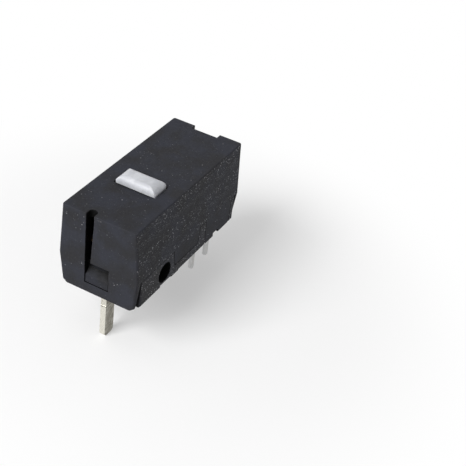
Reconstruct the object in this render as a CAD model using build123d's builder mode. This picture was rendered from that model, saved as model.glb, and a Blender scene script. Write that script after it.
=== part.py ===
from build123d import *
import os

# Subminiature optical micro switch: a snap blade carries a shutter between an infrared emitter and receiver.
# X runs along the body with the wide solder terminal at -X, Y runs across it and Z is up. The origin is the
# centre of the body's outline in the seating plane, z = 0, where the feet of the cover's end walls lie.
# All sizes are in millimetres.

# Body
body_length = 12.8
body_width = 5.76  # at the seam and below, where the body is widest
body_height = 6.02
seam_height = 2.25  # the cover's side walls end here, and the base shows below
upper_taper = 0.25  # each side leans in this far between the seam and the top
lower_taper = 0.26  # the end walls' edges lean in this far between the seam and the foot
end_taper = 0.19  # each end leans in this far between the top and the foot
corner_radius = 0.15
top_edge_radius = 0.08

# Clearances
snap_gap = 0.10  # base end face to the inside of the cover's end wall
tab_gap = 0.05  # side tab to its recess
plunger_gap = 0.05  # plunger to its opening, and its flange to the roof
seat_gap = 0.05  # package and terminal to the moulded walls beside them
blade_gap = 0.06  # plunger foot to blade, and blade to its post

# Cover
roof = 0.55
side_wall = 0.40
end_wall = 0.28  # at its foot, before the bevel inside
end_ledge = 0.25  # the end walls are thicker by this above the seam, where they sit on the base
foot_bevel = 0.15  # bevel inside each end wall's foot, which leads the cover over the base
foot_bevel_rise = 0.40
foot_corner = 0.18  # lower corners of the end walls
tab_wall = 0.38
tab_corner = 0.20
window_foot = 0.70  # snap windows in the end walls
window_height = 1.67
near_window = (-0.80, 0.97)  # across the end wall at -X
far_window_width = 1.80
slot_top = (0.33, 0.92)  # the core slot above the -X window, across the wall at its upper end
slot_foot = (0.54, 0.97)
slot_reach = 0.60  # how far the core slot cuts into the roof's edge
far_notch_depth = 0.48
far_notch_width = 1.96
far_notch_height = 1.20
stop_thickness = 0.35  # rib under the roof that limits the blade's lift
stop_gap = 0.12

# Side tabs: distance of the centre from the +X end, width at the seam, width at the foot, height of the foot
middle_tab = (6.82, 3.22, 2.83, 1.06)
opto_tab = (2.73, 3.36, 3.22, 0.35)
tab_notch_width = 0.70  # the opto tab's foot clears the tie of the lead frame
tab_notch_height = 0.26

# Base
base_foot = 0.26  # underside of the base, above the seating plane
base_bevel = 0.12  # along the lower long edges
seam_bevel = 0.05  # along the upper long edges, a shadow line under the cover
base_corner = 0.12
end_rib_offset = 2.15  # the end faces' locating ribs, which touch the cover, from the middle
end_rib_width = 0.40
bore_inset = 3.32  # mounting bore from the -X end
bore_height = 1.25
bore_diameter = 1.42
bay_end_wall = 0.45  # between the middle bay and the optical bay
block_length = 4.40  # solid end block that holds the bore and the wide terminal, from the -X end
floor_height = 0.90  # floor of the middle bay
bay_wall = 0.35  # between the middle bay and the recesses for the side tabs
pad_drop = 0.07  # the pad under the end block stands this far below the underside
panel_inset = 1.32  # sunk panel around the wide terminal, from the -X end
panel_width = 1.12
panel_depth = 0.10
panel_rim = 0.16
nub_reach = 0.38  # snap nub, out from the base's end face
nub_height = 0.99
nub_nose = 0.57  # flat nose under the nub's lead-in slope
nub_gap = 0.06  # nub to its window, all round
rib_crown = 0.12  # crowned rib across the underside, below the bore
rib_span = 1.05
rib_inset = 3.61  # middle of the crowned rib from the -X end
groove_depth = 0.25
groove_width = 0.18
latch_depth = 0.34  # pocket at the rib's -Y end
latch_height = 0.24
foot_rib_crown = 0.08
foot_rib_span = 0.58
mid_zone = 2.72  # between the two shallow grooves on either side of the anchor's short leg
line_start = 0.35  # from the middle
line_depth = 0.07
line_width = 0.11

# Anchor terminal: one stamping in the XZ plane with a long leg, a short leg and two posts
anchor_thickness = 0.40
terminal_inset = 1.46  # long leg from the -X end
leg_width = 0.98
leg_pitch = 5.00
terminal_reach = 3.85  # below the seating plane
terminal_waist = 0.04  # the leg is narrower by this above its solder shoulder
shoulder_drop = 1.32
tip_radius = 0.28
short_leg_reach = 0.30
short_leg_window = 0.20  # room on the -Y side of the short leg
bar_height = 0.55
hook_post = 0.44
hook_rise = 1.05
notch_post = 0.45
notch_rise = 0.42
post_notch = 0.10

# Snap blade
blade_thickness = 0.12
blade_lift = 0.64  # blade above the anchor's bar
blade_width = 2.40
blade_tail_width = 0.80
blade_tail_end = 0.85  # past the optical axis
blade_margin = 0.10  # blade's hooked end to the cover
blade_hook_bar = 0.32
rail_width = 0.62
crossbar = 0.34
tongue_width = 0.66
tongue_dip = 0.52
tongue_gap = 0.17  # the knife edge stands this far off its post
hinge_nip = 0.05

# Plunger
plunger_inset = 4.52  # from the -X end
plunger_width = 1.40
plunger_length = 2.91
plunger_travel = 0.35
plunger_rise = 0.50  # top of the crown above the cover at rest
plunger_corner = 0.16
plunger_edge = 0.38  # radius along both sides of the crown
crown_flat = 1.60  # level middle part of the crown, along the plunger
crown_drop = 0.42  # from there down to both ends
flange_lip = 0.22
flange_height = 0.40
stem_width = 0.80
stem_length = 2.10

# Optical pair
opto_inset = 2.73  # optical axis from the +X end
axis_height = 1.75
package_width = 2.80
package_height = 2.50
package_foot = 0.80  # height of the floor that the packages stand on
package_face = 0.95  # inner face from the middle of the switch
package_chamfer = 0.45
lens_radius = 0.55
lens_bulge = 0.14
die_size = 0.36
die_thickness = 0.12
lead_thickness = 0.22
lead_bend = 0.06  # inside radius
lead_jog = 0.55  # each pin row stands this far inside the plane of its package's leads
pin_width = 0.40
pin_reach = 2.65  # below the seating plane
pin_chamfer = 0.10
flag_reach = 0.83  # the flags end this far below the seating plane
flag_corner = 0.18
jog_height = 0.28  # underside of the bent part of a lead, above the seating plane
narrow_flag = (-1.48, -0.54)  # along X from the optical axis, on the emitter's side
wide_flag = (0.19, 1.50)
narrow_pin = -0.91
wide_pin = 1.00
lead_tail = 1.25  # how far a lead runs up inside its package
lead_shoulder = 0.70  # above this height a lead narrows to fit its package
lead_skin = 0.20  # package wall beside a lead
die_pad = 0.34  # the wide lead's pad reaches past the optical axis
coin_width = 0.34  # coined slot at the root of each pin
coin_height = 0.11
coin_depth = 0.10
coin_drop = 0.30
boss_rise = 0.06
tie_offset = -0.17  # middle of the lead frame's tie from the optical axis
tie_width = 0.62
tie_leg = 0.16
tie_bar = 0.22
tie_foot = 0.02  # above the seating plane
tie_height = 0.74
tie_thickness = 0.12
tie_stem = 0.24
tie_root = 0.30
lead_window = 1.00  # the lead windows in the base start here, from the middle
window_ends = (-1.55, 1.61)  # along X from the optical axis
divider = (-0.42, 0.09)  # rib between the two windows
divider_end = 0.28  # its round end, from the middle
well_depth = 0.30  # sunk floor between the windows
well_pad = (-0.28, 1.12, -0.55, 0.78)  # shallower part of it, along X and Y from the optical axis
well_pad_depth = 0.10

# Shutter
shutter_thickness = 0.50
shutter_length = 1.80
shutter_foot = 0.45  # above the optical axis at rest
shutter_head_width = 1.20
shutter_head = 0.34

# Derived places and levels
left_end = -body_length / 2
right_end = body_length / 2
bore_x = left_end + bore_inset
terminal_x = left_end + terminal_inset
short_leg_x = terminal_x + leg_pitch
plunger_x = left_end + plunger_inset
rib_x = left_end + rib_inset
opto_x = right_end - opto_inset
ceiling = body_height - roof
base_space = body_length - 2 * (end_taper + end_wall)
base_length = base_space - 2 * snap_gap
cavity_length = base_space - 2 * end_ledge
end_thickness = (body_length - cavity_length) / 2
pad_level = base_foot - pad_drop
tab_inner = body_width / 2 - tab_wall
bay_half_width = tab_inner - tab_gap - bay_wall
bar_top = seam_height + bar_height
blade_foot = bar_top + blade_lift
blade_top = blade_foot + blade_thickness
package_top = package_foot + package_height
hinge_x = terminal_x - leg_width / 2 + blade_hook_bar
latch_width = rib_span
through = 2 * body_width


def outer_half(height):
    """Half width of the cover's outside at a height above the seam."""
    return body_width / 2 - upper_taper * (height - seam_height) / (body_height - seam_height)


def inner_half(height):
    """Half width of the cover's cavity at a height above the seam."""
    return outer_half(height) - side_wall


package_back = inner_half(package_top) - seat_gap
lead_plane = package_back - lead_thickness / 2
pin_row = lead_plane - lead_jog


def tab_outline(gap):
    """Both side tabs as seen along Y, grown by a gap on each side for the recesses they drop into."""
    with BuildSketch() as tabs:
        for inset, seam_span, foot_span, foot in (middle_tab, opto_tab):
            centre = right_end - inset
            with BuildLine():
                Polyline(
                    (centre - seam_span / 2 - gap, seam_height),
                    (centre - foot_span / 2 - gap, foot - gap),
                    (centre + foot_span / 2 + gap, foot - gap),
                    (centre + seam_span / 2 + gap, seam_height),
                    close=True,
                )
            make_face()
        low_corners = tabs.vertices().filter_by(lambda corner: corner.Y < seam_height - tab_corner)
        fillet(low_corners, radius=tab_corner)
    return tabs.sketch


cover_tabs = tab_outline(0)
tab_recesses = tab_outline(tab_gap)


# Cover
with BuildPart() as cover:
    foot_half = body_width / 2 - lower_taper
    with BuildSketch(Plane.YZ) as end_view:
        with BuildLine():
            Polyline(
                (foot_half, 0),
                (body_width / 2, seam_height),
                (outer_half(body_height), body_height),
                (-outer_half(body_height), body_height),
                (-body_width / 2, seam_height),
                (-foot_half, 0),
                close=True,
            )
        make_face()
        chamfer(end_view.vertices().group_by(Axis.Y)[0], length=foot_corner)
    extrude(amount=body_length / 2, both=True)
    with BuildSketch(Plane.XZ):
        with BuildLine():
            Polyline(
                (body_length / 2, body_height),
                (body_length / 2 - end_taper, 0),
                (end_taper - body_length / 2, 0),
                (-body_length / 2, body_height),
                close=True,
            )
        make_face()
    extrude(amount=body_width, both=True, mode=Mode.INTERSECT)
    end_faces = cover.faces().sort_by(Axis.X)[0] + cover.faces().sort_by(Axis.X)[-1]
    fillet(end_faces.edges().filter_by(Axis.Y, reverse=True), radius=corner_radius)
    fillet(cover.faces().sort_by(Axis.Z)[-1].edges(), radius=top_edge_radius)
    # Below the seam only the end walls are left, bevelled inside at the foot
    with BuildSketch(Plane.XZ):
        with BuildLine():
            Polyline(
                (base_space / 2 + foot_bevel, 0),
                (base_space / 2, foot_bevel_rise),
                (base_space / 2, seam_height),
                (-base_space / 2, seam_height),
                (-base_space / 2, foot_bevel_rise),
                (-base_space / 2 - foot_bevel, 0),
                close=True,
            )
        make_face()
    extrude(amount=body_width, both=True, mode=Mode.SUBTRACT)
    # Side tabs
    for side in (1, -1):
        with BuildSketch(Plane.XZ.offset(side * tab_inner)):
            add(cover_tabs)
        extrude(amount=side * tab_wall)
    # Cavity above the seam
    with BuildSketch(Plane.YZ):
        with BuildLine():
            Polyline(
                (inner_half(seam_height), seam_height),
                (inner_half(ceiling), ceiling),
                (-inner_half(ceiling), ceiling),
                (-inner_half(seam_height), seam_height),
                close=True,
            )
        make_face()
    extrude(amount=cavity_length / 2, both=True, mode=Mode.SUBTRACT)
    # Stop rib for the blade
    with BuildSketch(Plane.XY.offset(ceiling)):
        with Locations((short_leg_x + notch_post + tongue_gap, 0)):
            Rectangle(stop_thickness, 2 * inner_half(ceiling))
    extrude(amount=blade_top + stop_gap - ceiling)
    # Plunger opening
    with BuildSketch(Plane.XY.offset(ceiling)):
        with Locations((plunger_x, 0)):
            Rectangle(plunger_width + 2 * plunger_gap, plunger_length + 2 * plunger_gap)
    extrude(amount=roof, mode=Mode.SUBTRACT)
    # Snap window and core slot in the end wall at -X
    with BuildSketch(Plane.YZ.offset(left_end)):
        with Locations((sum(near_window) / 2, window_foot + window_height / 2)):
            Rectangle(near_window[1] - near_window[0], window_height)
        with BuildLine():
            Polyline(
                (slot_foot[0], window_foot + window_height),
                (slot_top[0], ceiling),
                (slot_top[1], ceiling),
                (slot_foot[1], window_foot + window_height),
                close=True,
            )
        make_face()
    extrude(amount=end_thickness, mode=Mode.SUBTRACT)
    with BuildSketch(Plane.XY.offset(ceiling)):
        slot_middle = sum(slot_top) / 2
        slot_width = slot_top[1] - slot_top[0]
        with Locations((left_end, slot_middle)):
            Rectangle(2 * slot_reach - slot_width, slot_width)
        with Locations((left_end + slot_reach - slot_width / 2, slot_middle)):
            Circle(slot_width / 2)
    extrude(amount=roof, mode=Mode.SUBTRACT)
    # Snap window and top notch at +X
    with BuildSketch(Plane.YZ.offset(right_end)):
        with Locations((0, window_foot + window_height / 2)):
            Rectangle(far_window_width, window_height)
    extrude(amount=-end_thickness, mode=Mode.SUBTRACT)
    with BuildSketch(Plane.XY.offset(body_height)):
        with Locations((right_end, 0)):
            Rectangle(2 * far_notch_depth, far_notch_width)
    extrude(amount=-far_notch_height, mode=Mode.SUBTRACT)
    # The opto tab's foot clears the tie of the emitter, and on the other side that of the receiver
    with BuildSketch() as tie_notches:
        with Locations((opto_x, 0)):
            with PolarLocations(0, 2):
                with Locations((tie_offset, -body_width / 2)):
                    Rectangle(tab_notch_width, body_width / 2)
    extrude(amount=opto_tab[3] + tab_notch_height, mode=Mode.SUBTRACT)
cover.part.label = "cover"


# Base
with BuildPart() as base:
    # Body, and the lower pad under its end block
    pad_end = short_leg_x - mid_zone / 2
    for level, stretch in ((base_foot, base_length), (pad_level, pad_end + base_length / 2)):
        with BuildSketch(Plane.YZ.offset(-base_length / 2)) as section:
            with Locations((0, (level + seam_height) / 2)):
                Rectangle(body_width, seam_height - level)
            chamfer(section.vertices().group_by(Axis.Y)[0], length=base_bevel)
            chamfer(section.vertices().group_by(Axis.Y)[-1], length=seam_bevel)
        extrude(amount=stretch)
    end_faces = base.faces().sort_by(Axis.X)[0] + base.faces().sort_by(Axis.X)[-1]
    fillet(end_faces.edges().filter_by(Axis.Z), radius=base_corner)
    # Locating ribs, which close the gap to the cover's end walls
    with BuildSketch(Plane.XY.offset(base_foot)):
        with Locations((0, end_rib_offset), (0, -end_rib_offset)):
            Rectangle(base_space, end_rib_width)
    extrude(amount=seam_height - base_foot)
    # Sunk panel round the wide terminal
    with BuildSketch(Plane.XY.offset(pad_level)):
        with Locations((left_end + panel_inset, 0)):
            Rectangle(panel_width, body_width - 2 * panel_rim)
    extrude(amount=panel_depth, mode=Mode.SUBTRACT)
    # Grooves beside the crowned rib, then the rib
    with BuildSketch(Plane.XY.offset(pad_level)):
        groove_offset = (rib_span + groove_width) / 2
        with Locations((rib_x - groove_offset, 0), (rib_x + groove_offset, 0)):
            Rectangle(groove_width, body_width)
    extrude(amount=groove_depth, mode=Mode.SUBTRACT)
    with BuildSketch(Plane.XZ):
        for middle, span, crown, level in (
            (rib_x, rib_span, rib_crown, pad_level),
            (opto_x + window_ends[0] - foot_rib_span / 2, foot_rib_span, foot_rib_crown, base_foot),
        ):
            with BuildLine():
                start = (middle - span / 2, level)
                end = (middle + span / 2, level)
                ThreePointArc(start, (middle, level - crown), end)
                Line(end, start)
            make_face()
    extrude(amount=body_width / 2 - base_bevel, both=True)
    with BuildSketch(Plane.XZ.offset(body_width / 2)):
        with Locations((rib_x, pad_level)):
            Rectangle(latch_width, 2 * latch_height)
    extrude(amount=-latch_depth, mode=Mode.SUBTRACT)
    # Shallow lines on either side of the short leg
    with BuildSketch(Plane.XY.offset(base_foot)):
        for side_x in (short_leg_x - mid_zone / 2, short_leg_x + mid_zone / 2):
            with Locations((side_x, -body_width / 2), (side_x, body_width / 2)):
                Rectangle(line_width, body_width - 2 * line_start)
    extrude(amount=line_depth, mode=Mode.SUBTRACT)
    # Recesses for the cover's side tabs
    for side in (1, -1):
        with BuildSketch(Plane.XZ.offset(side * (tab_inner - tab_gap))):
            add(tab_recesses)
        extrude(amount=side * body_width, mode=Mode.SUBTRACT)
    # Middle bay, between the end block and the optical bay
    bay_start = left_end + block_length
    bay_end = opto_x - package_width / 2 - seat_gap - bay_end_wall
    with BuildSketch(Plane.XY.offset(floor_height)):
        with Locations(((bay_start + bay_end) / 2, 0)):
            Rectangle(bay_end - bay_start, 2 * bay_half_width)
    extrude(amount=seam_height - floor_height, mode=Mode.SUBTRACT)
    # Optical bay, open towards both side tabs
    with BuildSketch(Plane.XY.offset(package_foot)):
        with Locations((opto_x, 0)):
            Rectangle(package_width + 2 * seat_gap, body_width)
    extrude(amount=seam_height - package_foot, mode=Mode.SUBTRACT)
    # Lead windows in the floor, open at the sides below the tabs
    with BuildSketch() as windows:
        with Locations((opto_x, 0)):
            with PolarLocations(0, 2):
                for low, high in ((window_ends[0], divider[0]), (divider[1], window_ends[1])):
                    with Locations(((low + high) / 2, -(lead_window + body_width) / 2)):
                        Rectangle(high - low, body_width - lead_window)
                with Locations((sum(divider) / 2, -(package_back - tie_thickness) - body_width / 2)):
                    Rectangle(divider[1] - divider[0], body_width)
    extrude(amount=package_foot, mode=Mode.SUBTRACT)
    # The opto tabs' recesses run out through the underside
    with BuildSketch():
        with Locations((right_end - opto_tab[0], body_width), (right_end - opto_tab[0], -body_width)):
            Rectangle(opto_tab[2] + 2 * tab_gap, 2 * (body_width - tab_inner + tab_gap))
    extrude(amount=opto_tab[3], mode=Mode.SUBTRACT)
    # Sunk floor between the windows, round the dividers' ends, and the shallower pad in it
    with BuildSketch(Plane.XY.offset(base_foot)) as well:
        with Locations((opto_x, 0)):
            Rectangle(2 * window_ends[1], 2 * lead_window)
            with PolarLocations(0, 2):
                with Locations((sum(divider) / 2, -(divider_end + lead_window) / 2)):
                    Rectangle(divider[1] - divider[0], lead_window - divider_end, mode=Mode.SUBTRACT)
    extrude(amount=well_pad_depth, mode=Mode.SUBTRACT)
    with BuildSketch(Plane.XY.offset(base_foot)):
        with Locations((0, 0, base_foot)):
            add(well.sketch)
        with Locations((opto_x + sum(well_pad[:2]) / 2, sum(well_pad[2:]) / 2)):
            Rectangle(well_pad[1] - well_pad[0], well_pad[3] - well_pad[2], mode=Mode.SUBTRACT)
    extrude(amount=well_depth, mode=Mode.SUBTRACT)
    # Bore for the mounting peg
    with BuildSketch(Plane.XZ):
        with Locations((bore_x, bore_height)):
            Circle(bore_diameter / 2)
    extrude(amount=body_width, both=True, mode=Mode.SUBTRACT)
    # Slots for the anchor's legs
    with BuildSketch(Plane.XY.offset(pad_level)):
        with Locations((terminal_x, 0)):
            Rectangle(leg_width + 2 * seat_gap, anchor_thickness + 2 * seat_gap)
        with Locations((short_leg_x, (seat_gap - short_leg_window) / 2)):
            Rectangle(leg_width + 2 * seat_gap, anchor_thickness + seat_gap + short_leg_window)
    extrude(amount=through, mode=Mode.SUBTRACT)
    # Snap nubs on both end faces: a slope that leads in, and a flat nose that the window catches
    nub_foot = window_foot + nub_gap
    for direction, low, high in (
        (-1, near_window[0] + nub_gap, near_window[1] - nub_gap),
        (1, nub_gap - far_window_width / 2, far_window_width / 2 - nub_gap),
    ):
        face_x = direction * base_length / 2
        with BuildSketch(Plane.XZ.offset(-low)):
            with BuildLine():
                Polyline(
                    (face_x, nub_foot),
                    (face_x + direction * nub_reach, nub_foot),
                    (face_x + direction * nub_reach, nub_foot + nub_nose),
                    (face_x, nub_foot + nub_height),
                    close=True,
                )
            make_face()
        extrude(amount=low - high)
base.part.label = "base"


# Anchor terminal
with BuildPart() as anchor_terminal:
    hook_left = hinge_x
    notch_left = short_leg_x + leg_width / 2 - notch_post
    with BuildSketch(Plane.XZ) as anchor_outline:
        # Long leg: waisted down to its shoulder, full width below it
        with Locations((terminal_x, (seam_height - shoulder_drop) / 2)):
            Rectangle(leg_width - terminal_waist, seam_height + shoulder_drop)
        with Locations((terminal_x, -(shoulder_drop + terminal_reach) / 2)):
            Rectangle(leg_width, terminal_reach - shoulder_drop)
        with Locations((short_leg_x, (seam_height - short_leg_reach) / 2)):
            Rectangle(leg_width, seam_height + short_leg_reach)
        with Locations(((terminal_x + short_leg_x) / 2, seam_height + bar_height / 2)):
            Rectangle(leg_pitch + leg_width, bar_height)
        with Locations((hook_left + hook_post / 2, bar_top + hook_rise / 2)):
            Rectangle(hook_post, hook_rise)
        with Locations((hook_left, blade_foot + blade_thickness / 2)):
            Rectangle(2 * post_notch, blade_thickness + 2 * blade_gap, mode=Mode.SUBTRACT)
        with Locations((notch_left + notch_post / 2, bar_top + notch_rise / 2)):
            Rectangle(notch_post, notch_rise)
        tips = anchor_outline.vertices().group_by(Axis.Y)[0]
        fillet(tips, radius=tip_radius)
    extrude(amount=anchor_thickness / 2, both=True)
    # V notch across the post that the tongue's knife edge faces
    with BuildSketch(Plane.XZ):
        with BuildLine():
            notch_z = bar_top + notch_rise / 2
            Polyline(
                (notch_left + notch_post, notch_z + post_notch),
                (notch_left + notch_post - post_notch, notch_z),
                (notch_left + notch_post, notch_z - post_notch),
                close=True,
            )
        make_face()
    extrude(amount=anchor_thickness, both=True, mode=Mode.SUBTRACT)
anchor_terminal.part.label = "anchor_terminal"


# Snap blade: a sprung leaf with a cut-out tongue, hooked on the anchor's tall post
with BuildPart() as snap_blade:
    blade_left = -cavity_length / 2 + blade_margin
    blade_right = opto_x - package_width / 2 - seat_gap - blade_margin
    tail_right = opto_x + blade_tail_end
    window_left = plunger_x - plunger_width
    window_right = blade_right - crossbar
    tongue_tip = notch_left + notch_post + tongue_gap
    with BuildSketch(Plane.XY.offset(blade_foot)):
        with Locations(((blade_left + blade_right) / 2, 0)):
            Rectangle(blade_right - blade_left, blade_width)
        with Locations(((blade_right + tail_right) / 2, 0)):
            Rectangle(tail_right - blade_right, blade_tail_width)
        with Locations(((hinge_x + hook_post) / 2 + hinge_x / 2, 0)):
            Rectangle(hook_post + 2 * hinge_nip, anchor_thickness + 4 * hinge_nip, mode=Mode.SUBTRACT)
        with Locations(((window_left + window_right) / 2, 0)):
            Rectangle(window_right - window_left, blade_width - 2 * rail_width, mode=Mode.SUBTRACT)
    extrude(amount=blade_thickness)
    # The tongue bows down from the crossbar to its knife edge
    blade_middle = blade_foot + blade_thickness / 2
    with BuildSketch(Plane.XZ):
        with BuildLine():
            Spline(
                (window_right + blade_thickness, blade_middle),
                ((window_right + tongue_tip) / 2, blade_middle - tongue_dip * 0.75),
                (tongue_tip, blade_middle - tongue_dip),
                tangents=((-1, 0), (-1, 0)),
            )
        trace(line_width=blade_thickness)
    extrude(amount=tongue_width / 2, both=True)
snap_blade.part.label = "snap_blade"


# Shutter: an opaque vane clipped over the blade's tail
with BuildPart() as shutter:
    with BuildSketch(Plane.XZ):
        with BuildLine():
            vane_foot = axis_height + shutter_foot
            Polyline(
                (opto_x - shutter_length / 2, blade_foot),
                (opto_x - shutter_length / 2, vane_foot + shutter_thickness / 2),
                (opto_x - shutter_length / 2 + shutter_thickness / 2, vane_foot),
                (opto_x + shutter_length / 2, vane_foot),
                (opto_x + shutter_length / 2, blade_foot),
                close=True,
            )
        make_face()
    extrude(amount=shutter_thickness / 2, both=True)
    with BuildSketch(Plane.XY.offset(blade_foot - shutter_head / 2)):
        with Locations((opto_x, 0)):
            Rectangle(shutter_length, shutter_head_width)
    extrude(amount=blade_thickness + shutter_head)
    # Slot that the tail fills
    with BuildSketch(Plane.XY.offset(blade_foot)):
        with Locations((opto_x - shutter_length / 2 + (blade_tail_end + shutter_length / 2) / 2, 0)):
            Rectangle(blade_tail_end + shutter_length / 2, blade_tail_width)
    extrude(amount=blade_thickness, mode=Mode.SUBTRACT)
shutter.part.label = "shutter"


# Plunger
with BuildPart() as plunger:
    plunger_top = body_height + plunger_rise
    flange_top = ceiling - plunger_gap
    with BuildSketch(Plane.XY.offset(flange_top)):
        with Locations((plunger_x, 0)):
            RectangleRounded(plunger_width, plunger_length, plunger_corner)
    extrude(amount=plunger_top - flange_top)
    # Crown: rounded along both sides, and falling away towards both ends
    with BuildSketch(Plane.XZ) as across:
        with Locations((plunger_x, (plunger_top + flange_top) / 2)):
            Rectangle(plunger_width, plunger_top - flange_top)
        fillet(across.vertices().group_by(Axis.Y)[-1], radius=plunger_edge)
    extrude(amount=plunger_length, both=True, mode=Mode.INTERSECT)
    with BuildSketch(Plane.YZ.offset(plunger_x)):
        with BuildLine():
            rim = plunger_top - crown_drop
            Line((-crown_flat / 2, plunger_top), (crown_flat / 2, plunger_top))
            TangentArc((crown_flat / 2, plunger_top), (plunger_length / 2, rim), tangent=(1, 0))
            Polyline(
                (plunger_length / 2, rim),
                (plunger_length / 2, flange_top),
                (-plunger_length / 2, flange_top),
                (-plunger_length / 2, rim),
            )
            TangentArc((-crown_flat / 2, plunger_top), (-plunger_length / 2, rim), tangent=(-1, 0))
        make_face()
    extrude(amount=plunger_width, both=True, mode=Mode.INTERSECT)
    with BuildSketch(Plane.XY.offset(flange_top)):
        with Locations((plunger_x, 0)):
            Rectangle(plunger_width + 2 * flange_lip, plunger_length + 2 * flange_lip)
    extrude(amount=-flange_height)
    with BuildSketch(Plane.XY.offset(blade_top + blade_gap)):
        with Locations((plunger_x, 0)):
            Rectangle(stem_width, stem_length)
    extrude(amount=flange_top - flange_height - blade_top - blade_gap)
    # The foot is rounded across, so that it stays on one line of the tilting blade
    fillet(plunger.faces().sort_by(Axis.Z)[0].edges().filter_by(Axis.Y), radius=stem_width / 2 - blade_gap)
plunger.part.label = "plunger"


def solder_lead(flag, pin, pad_start):
    """A stamped lead of the emitter: embedded tail, outward jog, flag and pin.

    flag is its span along X and pin its middle, both from the optical axis. pad_start is where the widened
    part inside the package starts, or None for a plain tail.
    """
    with BuildPart() as lead:
        with BuildSketch(Plane.YZ.offset(opto_x + flag[0])):
            with BuildLine():
                jog_level = jog_height + lead_thickness / 2
                FilletPolyline(
                    (-lead_plane, lead_shoulder),
                    (-lead_plane, jog_level),
                    (-pin_row, jog_level),
                    (-pin_row, -flag_reach),
                    radius=lead_bend + lead_thickness / 2,
                )
            trace(line_width=lead_thickness)
        extrude(amount=flag[1] - flag[0])
        flag_foot = lead.faces().sort_by(Axis.Z)[0]
        fillet(flag_foot.edges().filter_by(Axis.Y), radius=flag_corner)
        # Shank inside the package
        package_limit = package_width / 2 - lead_skin
        shank_start = max(flag[0], -package_limit)
        shank_end = min(flag[1], package_limit)
        shank_top = package_foot + lead_tail
        with BuildSketch(Plane.XZ.offset(lead_plane - lead_thickness / 2)):
            with Locations((opto_x + (shank_start + shank_end) / 2, (lead_shoulder + shank_top) / 2)):
                Rectangle(shank_end - shank_start, shank_top - lead_shoulder)
        extrude(amount=lead_thickness)
        # Pin, with a chamfered tip
        with BuildSketch(Plane.XY.offset(-pin_reach)):
            with Locations((opto_x + pin, -pin_row)):
                Rectangle(pin_width, lead_thickness)
        extrude(amount=pin_reach - flag_reach + flag_corner)
        chamfer(lead.faces().sort_by(Axis.Z)[0].edges().filter_by(Axis.Y), length=pin_chamfer)
        # Boss and coined slot where the pin leaves the flag
        outside = pin_row + lead_thickness / 2
        with BuildSketch(Plane.XZ.offset(outside)):
            with Locations((opto_x + pin, -coin_drop / 2)):
                Rectangle(pin_width, coin_drop)
        extrude(amount=boss_rise)
        with BuildSketch(Plane.XZ.offset(outside)):
            with Locations((opto_x + pin, -coin_drop - coin_height / 2)):
                Rectangle(coin_width, coin_height)
        extrude(amount=-coin_depth, mode=Mode.SUBTRACT)
        if pad_start is not None:
            with BuildSketch(Plane.XZ.offset(lead_plane - lead_thickness / 2)):
                with Locations((opto_x + (pad_start + flag[0]) / 2, axis_height)):
                    Rectangle(flag[0] - pad_start, 2 * (package_foot + lead_tail - axis_height))
            extrude(amount=lead_thickness)
    return lead


emitter_narrow_lead = solder_lead(narrow_flag, narrow_pin, None)
emitter_narrow_lead.part.label = "emitter_narrow_lead"
emitter_wide_lead = solder_lead(wide_flag, wide_pin, -die_pad)
emitter_wide_lead.part.label = "emitter_wide_lead"


# Tie of the lead frame: a flat arch, cut free of the leads, whose stem is moulded into the package
with BuildPart() as emitter_tie:
    with BuildSketch(Plane.XZ.offset(package_back)):
        tie_x = opto_x + tie_offset
        arch_top = tie_foot + tie_height
        with Locations((tie_x, tie_foot + tie_height / 2)):
            Rectangle(tie_width, tie_height)
        with Locations((tie_x, tie_foot + (tie_height - tie_bar) / 2)):
            Rectangle(tie_width - 2 * tie_leg, tie_height - tie_bar, mode=Mode.SUBTRACT)
        with Locations((tie_x, (arch_top + package_foot + tie_root) / 2)):
            Rectangle(tie_stem, package_foot + tie_root - arch_top)
    extrude(amount=-tie_thickness)
emitter_tie.part.label = "emitter_tie"


# Emitter die, bonded to the pad of the wide lead on the optical axis
with BuildPart() as emitter_die:
    with BuildSketch(Plane.XZ.offset(lead_plane - lead_thickness / 2)):
        with Locations((opto_x, axis_height)):
            Rectangle(die_size, die_size)
    extrude(amount=-die_thickness)
emitter_die.part.label = "emitter_die"


# Emitter package, moulded round its leads, tie and die
with BuildPart() as emitter_body:
    with BuildSketch(Plane.XZ.offset(package_face)) as package_outline:
        with Locations((opto_x, package_foot + package_height / 2)):
            Rectangle(package_width, package_height)
        chamfer(package_outline.vertices().group_by(Axis.Y)[-1], length=package_chamfer)
    extrude(amount=package_back - package_face)
    # Lens: the cap of a ball that bulges from the inner face
    ball_radius = (lens_radius**2 + lens_bulge**2) / (2 * lens_bulge)
    with BuildSketch(Plane.YZ.offset(opto_x)):
        with BuildLine():
            lens_back = -package_face
            lens_nose = lens_back + lens_bulge
            RadiusArc((lens_back, axis_height + lens_radius), (lens_nose, axis_height), ball_radius)
            Line((lens_nose, axis_height), (lens_back, axis_height))
            Line((lens_back, axis_height), (lens_back, axis_height + lens_radius))
        make_face()
    revolve(axis=Axis((opto_x, 0, axis_height), (0, 1, 0)))
    for inlay in (emitter_narrow_lead, emitter_wide_lead, emitter_tie, emitter_die):
        add(inlay.part, mode=Mode.SUBTRACT)
emitter_body.part.label = "emitter_body"


def opposite(piece, name):
    """The receiver's copy of an emitter piece, turned half a turn about the middle of the optical bay."""
    with BuildPart() as copy:
        with Locations((2 * opto_x, 0, 0)):
            add(piece.part, rotation=(0, 0, 180))
    copy.part.label = name
    return copy


receiver_pieces = [
    opposite(emitter_body, "receiver_body"),
    opposite(emitter_narrow_lead, "receiver_narrow_lead"),
    opposite(emitter_wide_lead, "receiver_wide_lead"),
    opposite(emitter_tie, "receiver_tie"),
    opposite(emitter_die, "receiver_die"),
]

emitter_pieces = [emitter_body, emitter_narrow_lead, emitter_wide_lead, emitter_tie, emitter_die]
mechanism = [cover, base, anchor_terminal, snap_blade, shutter, plunger]

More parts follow.
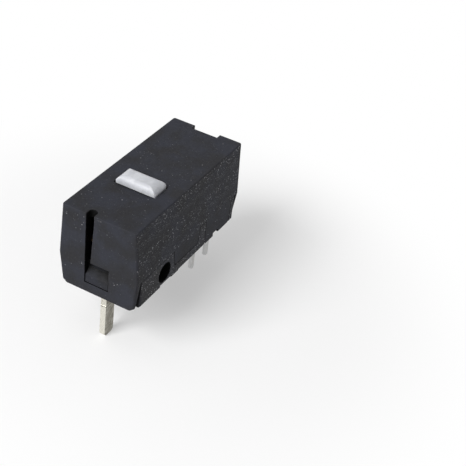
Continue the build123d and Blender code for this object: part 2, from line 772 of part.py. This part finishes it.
os.makedirs("parts", exist_ok=True)
for piece in mechanism + emitter_pieces + receiver_pieces:
    export_step(piece.part, f"parts/{piece.part.label}.step")

blade_lever = plunger_x - hinge_x
print(f"hinge axis at x {hinge_x:.3f}, z {blade_middle:.3f}")
print(f"blade turns {plunger_travel / blade_lever:.5f} rad over the travel, lever {blade_lever:.3f} mm")
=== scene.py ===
"""Looks, lights and camera for the micro switch. Metres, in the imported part's frame."""

from math import cos, pi, radians, sin

import bpy
from mathutils import Matrix, Vector


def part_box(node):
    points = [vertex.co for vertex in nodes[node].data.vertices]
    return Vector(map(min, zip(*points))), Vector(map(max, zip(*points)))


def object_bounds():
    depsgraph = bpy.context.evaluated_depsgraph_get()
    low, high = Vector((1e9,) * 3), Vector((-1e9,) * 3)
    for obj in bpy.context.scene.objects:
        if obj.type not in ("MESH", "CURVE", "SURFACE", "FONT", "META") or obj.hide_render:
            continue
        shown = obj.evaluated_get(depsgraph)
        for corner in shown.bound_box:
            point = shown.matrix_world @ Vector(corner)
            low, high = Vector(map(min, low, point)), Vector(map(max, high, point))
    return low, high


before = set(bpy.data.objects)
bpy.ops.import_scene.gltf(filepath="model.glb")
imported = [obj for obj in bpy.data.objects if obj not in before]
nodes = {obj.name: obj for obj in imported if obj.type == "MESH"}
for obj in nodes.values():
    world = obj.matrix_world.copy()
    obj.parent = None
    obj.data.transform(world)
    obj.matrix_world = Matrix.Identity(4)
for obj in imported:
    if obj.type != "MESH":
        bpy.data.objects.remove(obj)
cad_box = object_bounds()

MM = 0.001
WHITE = (1, 1, 1, 1)
cad_low, cad_high = cad_box
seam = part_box("base")[1].z
terminal_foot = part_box("anchor_terminal")[0].z


# ---------------------------------------------------------------- shader helpers


def scaled(colour, factor):
    return tuple(channel * factor for channel in colour)


class Shader:
    """A material under construction: short calls that add nodes and join them."""

    def __init__(self, name):
        self.material = bpy.data.materials.new(name)
        self.material.use_nodes = True
        self.tree = self.material.node_tree
        self.surface = self.tree.nodes["Principled BSDF"]
        self.place = self.tree.nodes.new("ShaderNodeTexCoord").outputs["Object"]

    def node(self, kind, inputs=None, **settings):
        made = self.tree.nodes.new("ShaderNode" + kind)
        for name, value in settings.items():
            setattr(made, name, value)
        for name, value in (inputs or {}).items():
            self.feed(made.inputs[name], value)
        return made

    def feed(self, socket, value):
        if isinstance(value, bpy.types.NodeSocket):
            self.tree.links.new(value, socket)
        else:
            socket.default_value = value

    def set(self, **inputs):
        for name, value in inputs.items():
            self.feed(self.surface.inputs[name.replace("_", " ")], value)

    # Arithmetic

    def times(self, first, second):
        return self.node("Math", {0: first, 1: second}, operation="MULTIPLY").outputs[0]

    def plus(self, first, second):
        return self.node("Math", {0: first, 1: second}, operation="ADD").outputs[0]

    def ramp(self, value, start, end, low=0.0, high=1.0):
        """Runs smoothly from low, where value is start, to high, where it is end."""
        inputs = {"Value": value, "From Min": start, "From Max": end, "To Min": low, "To Max": high}
        return self.node("MapRange", inputs, interpolation_type="SMOOTHSTEP").outputs[0]

    def varied(self, noise, low, high):
        """Noise spread over the range from low to high."""
        rarely_under, rarely_over = 0.3, 0.7
        return self.ramp(noise, rarely_under, rarely_over, low, high)

    def blend(self, factor, first, second):
        """first where factor is 0, second where it is 1. Colours are three linear values."""
        mix = self.node("Mix", data_type="RGBA")
        for socket, value in ((mix.inputs[0], factor), (mix.inputs[6], first), (mix.inputs[7], second)):
            self.feed(socket, (*value, 1) if isinstance(value, tuple) else value)
        return mix.outputs[2]

    # Patterns

    def noise(self, size, detail=3.0, stretch=(1, 1, 1), roughness=0.55):
        """Noise whose features are about size metres across, drawn out by stretch."""
        scale = [1 / along for along in stretch]
        stretched = self.node("Mapping", {"Vector": self.place, "Scale": scale}).outputs[0]
        inputs = {"Vector": stretched, "Scale": 1 / size, "Detail": detail, "Roughness": roughness}
        return self.node("TexNoise", inputs).outputs["Fac"]

    def clouds(self, size, detail=5):
        """Broad soft patches: 0 in half of them and 1 in the others."""
        return self.ramp(self.noise(size, detail=detail), 0.35, 0.65)

    def cells(self, size):
        """Voronoi cells about size metres across: distance to the cell's point, and a random colour."""
        cell = self.node("TexVoronoi", {"Vector": self.place, "Scale": 1 / size})
        return cell.outputs["Distance"], cell.outputs["Color"]

    def flecks(self, size, share):
        """Round flecks in that share of the cells, which are size metres across. Most are faint."""
        rim, core = 0.45, 0.12  # distance from the cell's point, in cells
        distance, random = self.cells(size)
        chance = self.node("SeparateColor", {"Color": random}).outputs
        chosen = self.ramp(self.plus(chance["Red"], share), 0.98, 1.02)  # where the sum passes 1
        brightness = self.times(chance["Green"], chance["Green"])
        return self.times(self.ramp(distance, rim, core), self.times(chosen, brightness))

    # Masks that follow the shape

    def rounded_edges(self, radius):
        """Normals rounded over each edge, and a mask that is 1 on the edges themselves, where the materials
        paint their edge highlights.
        """
        unturned, turned = 0.995, 0.90  # cosine between the rounded normal and the flat one
        rounded = self.node("Bevel", {"Radius": radius}, samples=6).outputs[0]
        flat = self.node("NewGeometry").outputs["Normal"]
        agree = self.node("VectorMath", {0: rounded, 1: flat}, operation="DOT_PRODUCT")
        return rounded, self.ramp(agree.outputs["Value"], unturned, turned)

    def facing(self, axis):
        """1 on faces that look along an axis of the object, either way, 0 on the others."""
        aside, along = 0.6, 0.85  # cosine between the normal and the axis
        normal = self.node("TexCoord").outputs["Normal"]
        part = self.node("SeparateXYZ", {"Vector": normal}).outputs[axis]
        return self.ramp(self.node("Math", {0: part}, operation="ABSOLUTE").outputs[0], aside, along)

    def height(self):
        return self.node("SeparateXYZ", {"Vector": self.place}).outputs["Z"]

    def recess_shade(self, reach):
        """Mask for painted shade: 0 on open faces, 1 deep in slots, bores and gaps narrower than reach."""
        free, deep = 0.92, 0.60  # share of the surroundings that stays clear
        shade = self.node("AmbientOcclusion", {"Distance": reach}, samples=12)
        return self.ramp(shade.outputs["AO"], free, deep)

    def bump(self, height, depth, normal):
        inputs = {"Height": height, "Distance": depth, "Strength": 1.0, "Normal": normal}
        return self.node("Bump", inputs).outputs[0]


def dress(material, *names):
    """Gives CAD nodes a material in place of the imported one."""
    for name in names:
        mesh = nodes[name].data
        mesh.materials.clear()
        mesh.materials.append(material)


# ---------------------------------------------------------------- materials


def moulded(name, tone, roughness, fleck_share, smooth_below=None):
    """Filled black moulding: spark-eroded grain, scratches, pale flecks of filler, edges paler in patches
    that are partly wear and partly a painted highlight, and painted shade in recesses.

    Most flecks are on the long sides, down to smooth_below where that is given.
    """
    fleck_colour, worn_highlight_colour = (0.42, 0.42, 0.44), (0.09, 0.09, 0.10)
    scratch_colour, recess_shade_colour = (0.16, 0.16, 0.17), (0.001, 0.001, 0.001)
    bluish = (tone[0] * 1.02, tone[1] * 1.08, tone[2] * 1.25)
    cloud_size = recess_reach = 1.6 * MM
    edge_radius, grain_depth = 0.05 * MM, 0.007 * MM
    fleck_size, fine_fleck_size = 0.11 * MM, 0.055 * MM
    fewest_anywhere, most_anywhere = 0.01, 0.08  # share of the cells with a fleck, on every face
    scratch_width, scratch_stretch = 0.022 * MM, (26, 1, 26)

    s = Shader(name)
    rounded, edges = s.rounded_edges(edge_radius)
    grain = s.noise(0.05 * MM, detail=2)
    coarse = s.noise(0.16 * MM, detail=4, roughness=0.65)

    sides = s.facing("Y")
    if smooth_below is not None:
        fade = 0.1 * MM
        sides = s.times(sides, s.ramp(s.height(), smooth_below - fade, smooth_below + fade))
    swarms = s.ramp(s.noise(0.9 * MM, detail=4), 0.50, 0.75, fewest_anywhere, most_anywhere)
    crowd = s.plus(s.times(sides, fleck_share), swarms)
    fine = s.times(s.flecks(fine_fleck_size, s.times(crowd, 2.2)), 0.5)
    flecks = s.plus(s.flecks(fleck_size, crowd), fine)
    # Paler edges in patches: partly wear, partly a painted highlight along the edges.
    edge_wear_and_highlight = s.times(edges, s.ramp(s.noise(0.35 * MM, detail=4), 0.38, 0.62))
    scratches = s.ramp(s.noise(scratch_width, detail=1, stretch=scratch_stretch), 0.74, 0.78)

    colour = s.blend(s.clouds(cloud_size), scaled(tone, 0.85), bluish)
    colour = s.blend(flecks, colour, fleck_colour)
    colour = s.blend(s.times(edge_wear_and_highlight, 0.4), colour, worn_highlight_colour)
    colour = s.blend(s.times(scratches, 0.25), colour, scratch_colour)
    # Painted shade: the colour turns near black in slots, bores, gaps and corners that the surroundings
    # hide.
    colour = s.blend(s.recess_shade(recess_reach), colour, recess_shade_colour)
    matt = s.varied(coarse, roughness - 0.07, roughness + 0.09)
    s.set(Base_Color=colour, Roughness=s.plus(matt, s.times(flecks, -0.15)), Specular_IOR_Level=0.10)
    s.set(Normal=s.bump(s.plus(grain, s.times(coarse, 1.2)), grain_depth, rounded))
    return s.material


def white_button():
    """Acetal: cool white and satin, cloudy like wax, with a painted highlight that makes its rims paler,
    and a soft glow at its edges.
    """
    shaded, clear = (0.475, 0.485, 0.515), (0.565, 0.575, 0.605)
    handled_colour, rim_colour = (0.42, 0.42, 0.43), (0.70, 0.71, 0.73)
    edge_radius, grain_depth = 0.14 * MM, 0.006 * MM
    glow_depth = (0.35 * MM, 0.35 * MM, 0.4 * MM)  # how far red, green and blue light spread inside

    s = Shader("acetal_white")
    rounded, edges = s.rounded_edges(edge_radius)
    handled = s.ramp(s.noise(0.22 * MM, detail=5, roughness=0.7), 0.55, 0.72)
    colour = s.blend(s.clouds(0.7 * MM), shaded, clear)
    colour = s.blend(s.times(handled, 0.5), colour, handled_colour)
    # Painted highlight: the rims are blended towards a paler colour.
    colour = s.blend(s.times(edges, 0.7), colour, rim_colour)
    fine = s.noise(0.06 * MM, detail=4)
    s.set(Base_Color=colour, Roughness=s.varied(fine, 0.32, 0.50))
    s.set(Normal=s.bump(fine, grain_depth, rounded))
    s.set(Subsurface_Weight=0.2, Subsurface_Radius=glow_depth, Subsurface_Scale=1.0)
    return s.material


def plated(name, bright, shaded_tone, roughness, metallic=0.85, pitting=0.5, tinned_below=None):
    """Plated strip: painted shade darkens the faces that look along ±Y, in blotches, while the other faces
    stay bright with a painted highlight along the edges; streaks and pits.

    Where tinned_below is given, the strip is smooth below it, and a dark rim marks the edge of the tin.
    """
    edge_radius, relief_depth = 0.03 * MM, 0.005 * MM
    least_tarnish_and_shade, other_faces_shade = 0.65, 0.15
    s = Shader(name)
    rounded, edges = s.rounded_edges(edge_radius)
    blotches = s.noise(0.45 * MM, detail=6, roughness=0.7)
    # Painted shade: the faces along ±Y take the shaded tone, more in some blotches than in others; the
    # other faces take a little of it.
    tarnish_and_shade = s.ramp(blotches, 0.35, 0.66, least_tarnish_and_shade, 1.0)
    shaded_sides = s.plus(s.times(s.facing("Y"), 1 - other_faces_shade), other_faces_shade)
    streaks = s.noise(0.03 * MM, detail=4, stretch=(1, 1, 14))
    pits = s.ramp(s.noise(0.08 * MM, detail=5, roughness=0.75), 0.50, 0.62)
    if tinned_below is not None:
        wavy = s.plus(s.height(), s.times(s.noise(0.3 * MM), 0.2 * MM))
        pits = s.times(pits, s.ramp(wavy, tinned_below, tinned_below + 0.2 * MM))

    colour = s.blend(s.times(tarnish_and_shade, shaded_sides), bright, shaded_tone)
    colour = s.blend(s.times(pits, pitting), colour, scaled(shaded_tone, 0.4))
    # Painted highlight: the edges are blended towards a colour brighter than the metal.
    colour = s.blend(s.times(edges, 0.5), colour, scaled(bright, 1.15))
    if tinned_below is not None:
        rim_colour, rim_under, rim_over = (0.03, 0.025, 0.02), 0.04 * MM, 0.1 * MM
        rim_start = s.ramp(wavy, tinned_below - rim_under, tinned_below)
        rim_end = s.ramp(wavy, tinned_below + rim_over, tinned_below)
        colour = s.blend(s.times(s.times(rim_start, rim_end), 0.8), colour, rim_colour)
    rough = s.plus(s.varied(streaks, roughness - 0.06, roughness + 0.10), s.times(pits, 0.4 * pitting))
    relief = s.plus(s.times(streaks, 0.5), s.times(pits, 1.6 * pitting))
    s.set(Base_Color=colour, Metallic=metallic, Roughness=rough)
    s.set(Normal=s.bump(relief, relief_depth, rounded))
    return s.material


def package_resin():
    """Infrared-pass epoxy: nearly black with a plum tint, glossy, with a faint orange peel and a painted
    highlight along its edges.
    """
    dark, plum, edge_highlight_colour = (0.006, 0.003, 0.005), (0.014, 0.006, 0.010), (0.03, 0.015, 0.025)
    edge_radius, peel_depth = 0.05 * MM, 0.003 * MM
    s = Shader("infrared_resin")
    rounded, edges = s.rounded_edges(edge_radius)
    colour = s.blend(s.clouds(0.7 * MM, detail=3), dark, plum)
    # Painted highlight: the edges are blended towards a lighter plum.
    colour = s.blend(s.times(edges, 0.4), colour, edge_highlight_colour)
    peel = s.noise(0.12 * MM, detail=2)
    s.set(Base_Color=colour, Roughness=s.varied(peel, 0.16, 0.30), Coat_Weight=0.3, Coat_Roughness=0.1)
    s.set(Normal=s.bump(peel, peel_depth, rounded))
    return s.material


def chip():
    """Polished semiconductor with gold contacts."""
    gold, silicon = (0.75, 0.52, 0.18), (0.10, 0.11, 0.15)
    contact_spacing, contact_edge = 0.2 * MM, (0.25, 0.32)
    s = Shader("chip_face")
    distance, _ = s.cells(contact_spacing)
    s.set(Base_Color=s.blend(s.ramp(distance, *contact_edge), gold, silicon), Metallic=0.8)
    s.set(Roughness=s.varied(s.noise(0.03 * MM), 0.15, 0.3))
    return s.material


# Linear tones of the plastics and metals
cover_tone, base_tone = (0.027, 0.027, 0.030), (0.022, 0.022, 0.0245)
shutter_tone = (0.010, 0.010, 0.011)
# Each metal's second tone is painted shade for its faces along ±Y, and its pits are a darker copy of it.
terminal_bright, terminal_shaded = (0.80, 0.78, 0.70), (0.20, 0.185, 0.145)
bronze_bright, bronze_shaded = (0.30, 0.20, 0.11), (0.12, 0.08, 0.045)
tin_bright, tin_shaded = (0.82, 0.82, 0.82), (0.60, 0.60, 0.59)

tinned_length = 2.55 * MM
tin_edge = terminal_foot + tinned_length
lead_parts = ("narrow_lead", "wide_lead", "tie")
leads = [f"{package}_{part}" for package in ("emitter", "receiver") for part in lead_parts]

dress(moulded("cover_plastic", cover_tone, 0.62, 0.34, smooth_below=seam), "cover")
dress(moulded("base_plastic", base_tone, 0.56, 0.32), "base")
dress(moulded("shutter_plastic", shutter_tone, 0.55, 0.02), "shutter")
dress(white_button(), "plunger")
terminal_plating = plated("terminal_plating", terminal_bright, terminal_shaded, 0.28, tinned_below=tin_edge)
dress(terminal_plating, "anchor_terminal")
dress(plated("spring_bronze", bronze_bright, bronze_shaded, 0.36), "snap_blade")
dress(plated("lead_tin", tin_bright, tin_shaded, 0.36, metallic=0.75, pitting=0.12), *leads)
dress(package_resin(), "emitter_body", "receiver_body")
dress(chip(), "emitter_die", "receiver_die")


# ---------------------------------------------------------------- floor, light and camera


def seen_directly(tree):
    """1 for camera, glossy and transmission rays, 0 for the diffuse light that falls on the object."""
    path = tree.nodes.new("ShaderNodeLightPath")
    total = path.outputs["Is Camera Ray"]
    for name in ("Is Glossy Ray", "Is Transmission Ray"):
        larger = tree.nodes.new("ShaderNodeMath")
        larger.operation = "MAXIMUM"
        tree.links.new(total, larger.inputs[0])
        tree.links.new(path.outputs[name], larger.inputs[1])
        total = larger.outputs[0]
    return total


def pale_floor():
    """A wide white floor under the lowest terminal.

    It keeps the object's shadow and turns plain white further out.
    """
    half = 1.5
    shadow_reach, plain_from, share_in_shadow = 11 * MM, 24 * MM, 0.4
    mesh = bpy.data.meshes.new("floor")
    corners = [(-half, -half, 0), (half, -half, 0), (half, half, 0), (-half, half, 0)]
    mesh.from_pydata(corners, [], [(0, 1, 2, 3)])
    floor = bpy.data.objects.new("floor", mesh)
    floor.location = (0, 0, cad_low.z)
    bpy.context.collection.objects.link(floor)

    s = Shader("floor_paper")
    s.set(Base_Color=(0.88, 0.88, 0.88, 1), Roughness=0.9, Specular_IOR_Level=0.1)
    white = s.node("Emission", {"Color": WHITE, "Strength": 1.0}).outputs[0]
    outwards = s.node("VectorMath", {0: s.place}, operation="LENGTH").outputs["Value"]
    share = s.times(seen_directly(s.tree), s.ramp(outwards, shadow_reach, plain_from, share_in_shadow, 1.0))
    mix = s.node("MixShader", {0: share, 1: s.surface.outputs[0], 2: white})
    s.tree.links.new(mix.outputs[0], s.tree.nodes["Material Output"].inputs["Surface"])
    mesh.materials.append(s.material)


def white_world(ambient):
    """White wherever it is seen, and a plain ambient light for the diffuse rays."""
    world = bpy.data.worlds.new("studio")
    bpy.context.scene.world = world
    world.use_nodes = True
    tree = world.node_tree
    light, white = tree.nodes["Background"], tree.nodes.new("ShaderNodeBackground")
    for background, strength in ((light, ambient), (white, 1.0)):
        background.inputs["Color"].default_value = WHITE
        background.inputs["Strength"].default_value = strength
    mix = tree.nodes.new("ShaderNodeMixShader")
    tree.links.new(seen_directly(tree), mix.inputs[0])
    tree.links.new(light.outputs[0], mix.inputs[1])
    tree.links.new(white.outputs[0], mix.inputs[2])
    tree.links.new(mix.outputs[0], tree.nodes["World Output"].inputs["Surface"])


def direction(azimuth, elevation):
    """Unit vector from the object towards a viewer, in degrees. Azimuth 0 is at -Y and 90 at +X."""
    a, e = radians(azimuth), radians(elevation)
    return Vector((sin(a) * cos(e), -cos(a) * cos(e), sin(e)))


def softbox(name, azimuth, elevation, size, level):
    """A square area light. level is how bright it alone would render a white face turned to it."""
    distance = 0.25
    light = bpy.data.lights.new(name, "AREA")
    light.size = size
    light.energy = level * pi**2 * distance**2
    lamp = bpy.data.objects.new(name, light)
    towards = direction(azimuth, elevation)
    lamp.location = (cad_low + cad_high) / 2 + towards * distance
    lamp.rotation_mode = "QUATERNION"
    lamp.rotation_quaternion = towards.to_track_quat("Z", "Y")
    bpy.context.collection.objects.link(lamp)


def camera():
    """From above the terminal end, a little to the emitter's side, rolled with the switch's lean."""
    azimuth, elevation, roll = -65.69, 36.01, radians(7.79)
    aim = Vector((1.817, -4.936, 2.344)) * MM
    distance = 70.92 * MM
    back = direction(azimuth, elevation)
    level_right = Vector((0, 0, 1)).cross(back).normalized()
    level_up = back.cross(level_right)
    right = level_right * cos(roll) + level_up * sin(roll)
    axes = Matrix((right, back.cross(right), back)).transposed()
    data = bpy.data.cameras.new("camera")
    data.lens = 84.98
    data.sensor_width = 36.0
    data.clip_start = 1 * MM
    seen_from = bpy.data.objects.new("camera", data)
    seen_from.matrix_world = Matrix.Translation(aim + back * distance) @ axes.to_4x4()
    bpy.context.collection.objects.link(seen_from)
    bpy.context.scene.camera = seen_from


pale_floor()
white_world(ambient=0.25)
softbox("key", azimuth=-108, elevation=40, size=0.13, level=1.10)
softbox("over", azimuth=-150, elevation=75, size=0.20, level=0.15)
softbox("right", azimuth=60, elevation=30, size=0.20, level=0.03)
camera()
bpy.context.scene.view_settings.view_transform = "Standard"
